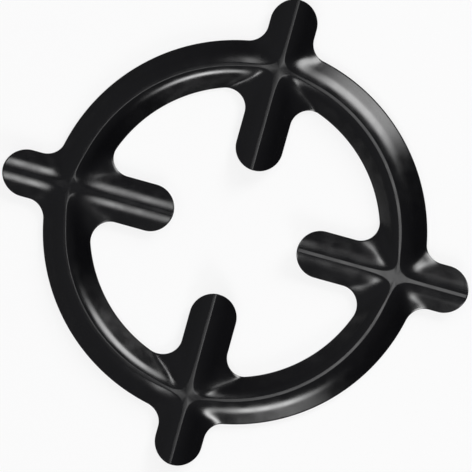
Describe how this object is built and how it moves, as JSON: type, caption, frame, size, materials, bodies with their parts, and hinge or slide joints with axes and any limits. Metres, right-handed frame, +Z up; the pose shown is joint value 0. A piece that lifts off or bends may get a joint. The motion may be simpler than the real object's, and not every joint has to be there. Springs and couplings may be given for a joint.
{
  "type": "gas hob reducer ring",
  "caption": "Pressed black-enamelled ring with radial ridged arms that lets a small pan stand over a gas hob burner.",
  "frame": {"origin": "centre of the ring on the plane that it stands on", "axes": "+Z up through the ring's centre, with the pan seats on top; the arms lie along X and Y"},
  "size_m": [0.145, 0.145, 0.0057],
  "materials": {
    "black_enamel": "glossy black vitreous enamel on pressed sheet steel"
  },
  "bodies": {
    "root": {"reducer_ring": "black_enamel"}
  },
  "joints": []
}
